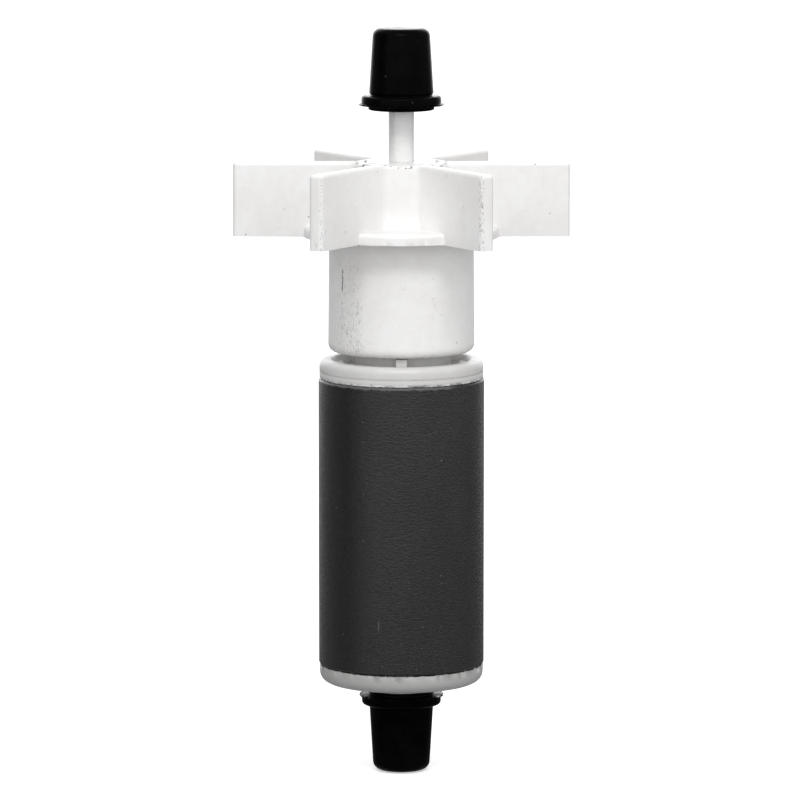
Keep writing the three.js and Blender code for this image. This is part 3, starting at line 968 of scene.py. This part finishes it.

# %% [markdown]
# ## Carrier plastic
# The lower flange is a greyer, duller plastic than the rest. Its grey is also set darker, as painted shade
# for the dimmer light low down, and its rim is painted darker still towards the foot, as shade by the
# table.

# %% Carrier plastic
# The flange's darker grey and the darker band towards its foot are painted shade.
CARRIER_GREY_AND_SHADE, CARRIER_FOOT_SHADE, SEAM_DUST = 0.42, 0.24, 0.05
FOOT_SHADE_HEIGHT, SEAM_HEIGHT = 1.1, 0.22
FOOT_SHADE_STRENGTH, SEAM_STRENGTH = 0.35, 0.8
DULLER = 0.08


def carrier_plastic():
    material, tree, shader, place = start_finish("carrier_plastic_smooth", IOR=1.48)
    # Its grey is darker than the plastic's own: partly a greyer plastic, partly painted shade for the dim
    # light low down.
    colour, rough, height = plastic_base(tree, place, CARRIER_GREY_AND_SHADE)
    _, _, up, _ = parts_of(tree, place)
    foot = heights("rotor_carrier")[0]
    edge = foot + LOWER_FLANGE
    # Painted shade: the rim is darker towards the foot, where less light reaches by the table.
    low_rim_shade = math_node(tree, "MULTIPLY", ease(tree, up, foot + FOOT_SHADE_HEIGHT, foot), FOOT_SHADE_STRENGTH)
    colour = blend(tree, low_rim_shade, colour, grey(CARRIER_FOOT_SHADE, 0.02))
    near_edge = ease(tree, up, edge - SEAM_HEIGHT, edge)
    dust = use_group(tree, grime, Vector=place, Cover=near_edge, Amount=0.55, Grain=1.6)
    dust = math_node(tree, "MULTIPLY", dust, SEAM_STRENGTH)
    colour = blend(tree, dust, colour, grey(SEAM_DUST, 0.04))
    rough = math_node(tree, "ADD", rough, DULLER)
    connect(tree, shader, colour, rough, height, 0.03)
    return material


paint(carrier_plastic(), carrier)

# %% [markdown]
# ## Ferrite magnet
# Ferrite is a black ceramic that is ground round. Grinding leaves short fine streaks round the cylinder,
# and they catch the light as a band of sparkle. The broken edge at the top is paler and ragged, there are
# pale grains in the surface, and a few scratches run down it at a slant.

# %% Ferrite
FERRITE_DARK, FERRITE_LIGHT, FERRITE_GRAIN, FERRITE_CHIP = 0.001, 0.014, 0.3, 0.085
FERRITE_ROUGHNESS, STREAK_ROUGHNESS, CLOUD_ROUGHNESS = 0.24, 0.12, 0.08
CLOUD_STRENGTH, GRAIN_STRENGTH, SLANT_STRENGTH = 0.85, 0.5, 0.5
CHIP_DEPTH, CHIP_SIDE = 0.75, (6.8, 5.2)
SCRATCH_DEPTH = 0.6


def ferrite():
    material, tree, shader, place = start_finish("ferrite_ground", IOR=1.5, Specular_IOR_Level=0.6)
    across, _, up, _ = parts_of(tree, place)
    top = heights("magnet")[1]
    fine = use_group(tree, streaks, Vector=place, Round=2.0, Along=8.0)
    coarse = use_group(tree, streaks, Vector=place, Round=1.8, Along=5.0)
    cloud = use_group(tree, patches, Vector=stretch(tree, place, (1, 1, 0.35)), Scale=0.25)
    tone = math_node(tree, "MULTIPLY", fine, math_node(tree, "MULTIPLY_ADD", coarse, 0.5, 0.6))
    colour = blend(tree, tone, grey(FERRITE_DARK, 0.02), grey(FERRITE_LIGHT, 0.02))
    dim = math_node(tree, "MULTIPLY", cloud, CLOUD_STRENGTH)
    colour = blend(tree, dim, colour, grey(FERRITE_DARK, 0.02))
    grains = use_group(tree, specks, Vector=place, Density=1.3, Size=0.1, Share=0.3)
    slanted = stretch(tree, place, (1.5, 1.5, 0.16), (0.0, 0.7, 0.0))
    lines = use_group(tree, specks, Vector=slanted, Density=0.8, Size=0.1, Share=0.2)
    pale = math_node(tree, "MAXIMUM", grains, math_node(tree, "MULTIPLY", lines, SLANT_STRENGTH))
    pale = math_node(tree, "MULTIPLY", pale, GRAIN_STRENGTH)
    colour = blend(tree, pale, colour, grey(FERRITE_GRAIN, 0.01))
    # The chipped edge is pale round most of the rim, and its lower limit wanders.
    ragged = noise(tree, place, 1.4, 4.0, 0.7)
    limit = math_node(tree, "MULTIPLY_ADD", ragged, -CHIP_DEPTH, top + 0.02)
    above = ease(tree, math_node(tree, "SUBTRACT", up, limit), -0.05, 0.05)
    edge = math_node(tree, "MULTIPLY", above, ease(tree, across, *CHIP_SIDE))
    colour = blend(tree, edge, colour, grey(FERRITE_CHIP, 0.01))
    rough = math_node(tree, "MULTIPLY_ADD", fine, STREAK_ROUGHNESS, FERRITE_ROUGHNESS)
    rough = math_node(tree, "MULTIPLY_ADD", cloud, CLOUD_ROUGHNESS, rough)
    height = math_node(tree, "MULTIPLY_ADD", fine, 0.35, coarse)
    height = math_node(tree, "SUBTRACT", height, math_node(tree, "MULTIPLY", lines, SCRATCH_DEPTH))
    connect(tree, shader, colour, rough, height, 0.02)
    return material


paint(ferrite(), magnet)

# %% [markdown]
# ## Rubber
# The end mounts are soft black rubber. It is nearly as dark as paint can be, with a low sheen from the
# polished mould, a trace of pale talc, and a slightly crinkled skin.

# %% Rubber
RUBBER_DARK, RUBBER_LIGHT, TALC = 0.0008, 0.0022, 0.25
RUBBER_ROUGHNESS = (0.12, 0.2)
TALC_STRENGTH = 0.5


def rubber():
    material, tree, shader, place = start_finish("rubber_moulded", IOR=1.5, Specular_IOR_Level=0.02)
    cloud = use_group(tree, patches, Vector=place, Scale=0.4)
    colour = blend(tree, cloud, grey(RUBBER_DARK), grey(RUBBER_LIGHT, 0.02))
    dust = use_group(tree, specks, Vector=place, Density=1.6, Size=0.09, Share=0.22)
    colour = blend(tree, math_node(tree, "MULTIPLY", dust, TALC_STRENGTH), colour, grey(TALC, 0.03))
    rough = ease(tree, cloud, 0, 1, *RUBBER_ROUGHNESS)
    crinkle = noise(tree, place, 1.7, 5.0, 0.65)
    connect(tree, shader, colour, rough, crinkle, 0.04)
    return material


paint(rubber(), lower_mount, upper_mount, *pads)

# %% [markdown]
# ## Ceramic and bearing plastic
# The shaft and washers are ground alumina: white, smooth and hard, with the finest rings left by the
# grinding wheel. The bushes are a graphite-filled plastic, dark grey and slightly cloudy.

# %% Ceramic
CERAMIC_DARK, CERAMIC_LIGHT, CERAMIC_CLOUD = 0.78, 0.84, 0.7
CERAMIC_ROUGHNESS, RING_ROUGHNESS = 0.16, 0.08


def ceramic():
    material, tree, shader, place = start_finish("white_ceramic_ground", IOR=1.7)
    rings = use_group(tree, streaks, Vector=place, Round=0.5, Along=7.0)
    cloud = use_group(tree, patches, Vector=place, Scale=0.3)
    colour = blend(tree, rings, grey(CERAMIC_DARK, 0.006), grey(CERAMIC_LIGHT, 0.004))
    colour = blend(tree, math_node(tree, "MULTIPLY", cloud, 0.3), colour, grey(CERAMIC_CLOUD, 0.01))
    rough = math_node(tree, "MULTIPLY_ADD", rings, RING_ROUGHNESS, CERAMIC_ROUGHNESS)
    connect(tree, shader, colour, rough, rings, 0.004)
    return material


# %% Bearing plastic
BEARING_DARK, BEARING_LIGHT = 0.03, 0.055
BEARING_ROUGHNESS = (0.34, 0.5)


def bearing_plastic():
    material, tree, shader, place = start_finish("bearing_plastic_dark", IOR=1.5)
    cloud = use_group(tree, patches, Vector=place, Scale=0.8)
    turned = use_group(tree, streaks, Vector=place, Round=0.4, Along=3.0)
    colour = blend(tree, cloud, grey(BEARING_DARK, -0.01), grey(BEARING_LIGHT, -0.01))
    rough = ease(tree, turned, 0, 1, *BEARING_ROUGHNESS)
    connect(tree, shader, colour, rough, turned, 0.01)
    return material


paint(ceramic(), shaft, *washers)
paint(bearing_plastic(), *bushes)

# %% [markdown]
# ## Studio
# A key lamp high in front throws the soft shadow of the wheel on the cup. Everything else comes from the
# room, painted on the world as a ring of cards: a bright one in front, dim ones at both sides, a dark gap
# at the left and a white backdrop. A glossy cylinder shows these cards as upright bands, so
# their places decide how the magnet looks.

# %% Key lamp
KEY_RISE = 50
KEY_DISTANCE = 0.8
KEY_POWER = 2.5
KEY_WIDTH, KEY_HEIGHT = 0.5, 0.2


def add_key():
    data = bpy.data.lights.new("key_lamp", "AREA")
    data.shape = "RECTANGLE"
    data.size = KEY_WIDTH
    data.size_y = KEY_HEIGHT
    data.energy = KEY_POWER
    lamp = bpy.data.objects.new("key_lamp", data)
    bpy.context.collection.objects.link(lamp)
    rise = math.radians(KEY_RISE)
    away = Vector((0, -math.cos(rise), math.sin(rise)))
    lamp.location = CAMERA_TARGET + away * KEY_DISTANCE
    lamp.rotation_euler = away.to_track_quat("Z", "Y").to_euler()
    return lamp


add_key()

# %% Room light
# Bearing of each card's edge from straight in front, in degrees, and the light it gives.
CARDS = [(-180, 2.3), (-152, 2.1), (-138, 0.5), (-92, 0.32), (-84, 0.04), (-66, 0.04), (-58, 1.35),
         (18, 1.35), (30, 1.15), (88, 1.15), (108, 0.5), (140, 0.5), (156, 2.1), (180, 2.3)]
BRIGHTEST = 2.0
# Light from above, from straight below and from the table near by, with the slopes where they start.
OVERHEAD, UNDERFOOT, NEAR_TABLE = 0.74, 0.5, 0.12
UP_SLOPES, DOWN_SLOPES, TABLE_SLOPES = (0.45, 0.7), (-0.02, -0.14), (-0.25, -0.6)


def add_room():
    world = bpy.data.worlds.new("room")
    bpy.context.scene.world = world
    world.use_nodes = True
    tree = world.node_tree
    look = add_node(tree, "TexCoord").outputs["Generated"]
    x, y, z = add_node(tree, "SeparateXYZ", {0: look}).outputs
    bearing = math_node(tree, "ARCTAN2", x, math_node(tree, "MULTIPLY", y, -1.0))
    turn = math_node(tree, "MULTIPLY_ADD", bearing, 1 / math.tau, 0.5)
    ramp = add_node(tree, "ValToRGB", {0: turn})
    stops = ramp.color_ramp.elements
    while len(stops) < len(CARDS):
        stops.new(0.5)
    for stop, (edge, light) in zip(stops, CARDS):
        stop.position = edge / 360 + 0.5
        stop.color = grey(light / BRIGHTEST)
    cards = math_node(tree, "MULTIPLY", ramp.outputs[0], BRIGHTEST)
    up = ease(tree, z, *UP_SLOPES)
    down = ease(tree, z, *DOWN_SLOPES)
    level = math_node(tree, "SUBTRACT", math_node(tree, "SUBTRACT", 1.0, up), down)
    light = math_node(tree, "MULTIPLY", cards, level)
    light = math_node(tree, "MULTIPLY_ADD", up, OVERHEAD, light)
    near = ease(tree, z, *TABLE_SLOPES, NEAR_TABLE, UNDERFOOT)
    light = math_node(tree, "MULTIPLY_ADD", down, near, light)
    background = tree.nodes["Background"]
    background.inputs["Color"].default_value = (1, 1, 1, 1)
    tree.links.new(light, background.inputs["Strength"])
    return world


add_room()
bpy.context.scene.view_settings.view_transform = "Standard"

# %% [markdown]
# ## Floor
# The floor is a plain white table that glows a little, as a light table does. It shows to the camera and
# takes the object's shadow, but gives no light itself, so the cards alone shape the object.

# %% Floor
TABLE_SIZE, TABLE_DROP = 5, 0.0001
TABLE_GLOW, TABLE_WHITE = 0.42, 0.9


def add_floor():
    deselect_all()
    bpy.ops.mesh.primitive_plane_add(size=TABLE_SIZE, location=(0, 0, -TABLE_DROP))
    floor = bpy.context.object
    floor.name = floor.data.name = "table"
    material, _, shader, _ = start_finish("table_white", Roughness=0.9, Emission_Strength=TABLE_GLOW)
    shader.inputs["Base Color"].default_value = grey(TABLE_WHITE)
    shader.inputs["Emission Color"].default_value = grey(1.0)
    paint(material, floor)
    floor.visible_diffuse = floor.visible_glossy = floor.visible_shadow = False
    return floor


add_floor()
